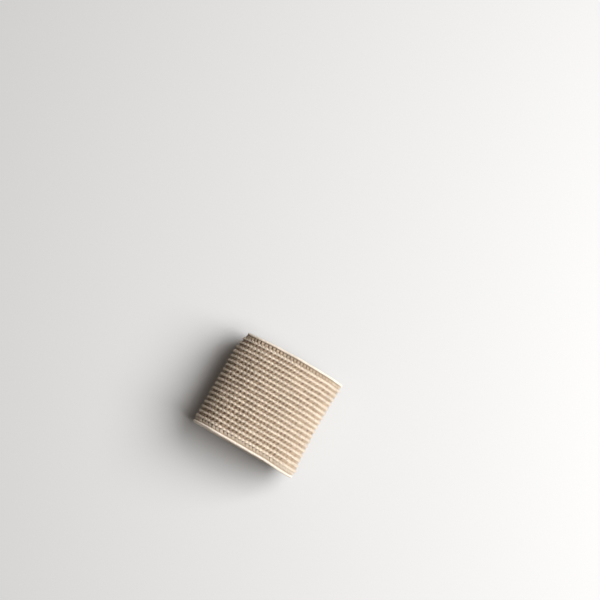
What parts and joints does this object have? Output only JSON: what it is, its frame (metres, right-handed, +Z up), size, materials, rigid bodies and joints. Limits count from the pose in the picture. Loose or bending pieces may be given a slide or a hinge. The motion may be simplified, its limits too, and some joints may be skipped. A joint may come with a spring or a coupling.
{
  "type": "wrist support",
  "caption": "Ribbed elastic knit wrist support: an open oval sleeve with raised ribs round it and a pale corded edge at each end, pulled over the hand to brace the wrist.",
  "frame": {"origin": "on the surface that the sleeve rests on, under the middle of its length and width", "axes": "+X across the wrist, +Y along the arm towards the hand, +Z up, away from the palm side"},
  "size_m": [0.0668, 0.062, 0.0462],
  "materials": {
    "rib_knit": "matt ribbed elastic knit in beige yarn",
    "edge_knit": "matt corded knit edge in pale beige yarn"
  },
  "bodies": {
    "root": {"ribbed_sleeve": "rib_knit", "hand_edge": "edge_knit", "forearm_edge": "edge_knit"}
  },
  "joints": []
}
